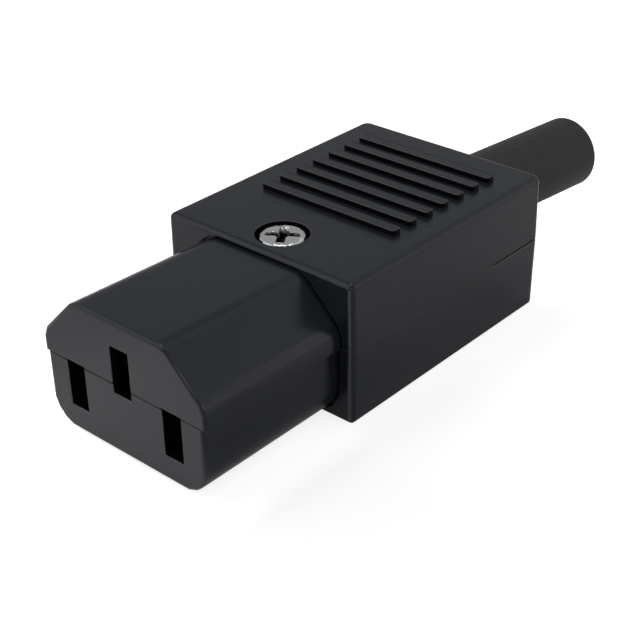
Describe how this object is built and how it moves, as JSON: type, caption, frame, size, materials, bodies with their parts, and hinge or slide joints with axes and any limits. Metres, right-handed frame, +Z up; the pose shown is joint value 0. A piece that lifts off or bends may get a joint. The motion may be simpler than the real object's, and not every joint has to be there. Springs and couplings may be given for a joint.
{
  "type": "c13 power connector",
  "caption": "Rewireable female C13 power connector: split black housing with grip ribs, slotted nose, one top screw and a leaning rubber cable boot.",
  "frame": {"origin": "middle of the length and width, on the underside of the body", "axes": "+Y along the connector towards the cable, +Z up through the ribbed top, +X to the line side"},
  "size_m": [0.0268, 0.0784, 0.0173],
  "materials": {
    "housing": "black nylon, finely spark-eroded mould finish, satin",
    "boot": "black soft PVC, matte",
    "assembly_screw": "bright zinc plated steel",
    "steel": "zinc plated steel",
    "contact": "stamped and folded brass strip"
  },
  "bodies": {
    "root": {"upper_shell": "housing", "lower_shell": "housing", "cable_boot": "boot", "assembly_screw": "assembly_screw", "assembly_nut": "steel", "line_contact": "contact", "neutral_contact": "contact", "earth_contact": "contact", "line_terminal_screw": "steel", "neutral_terminal_screw": "steel", "earth_terminal_screw": "steel", "line_clamp_plate": "steel", "neutral_clamp_plate": "steel", "earth_clamp_plate": "steel", "cord_clamp": "housing", "cord_clamp_screw_left": "steel", "cord_clamp_screw_right": "steel"}
  },
  "joints": []
}
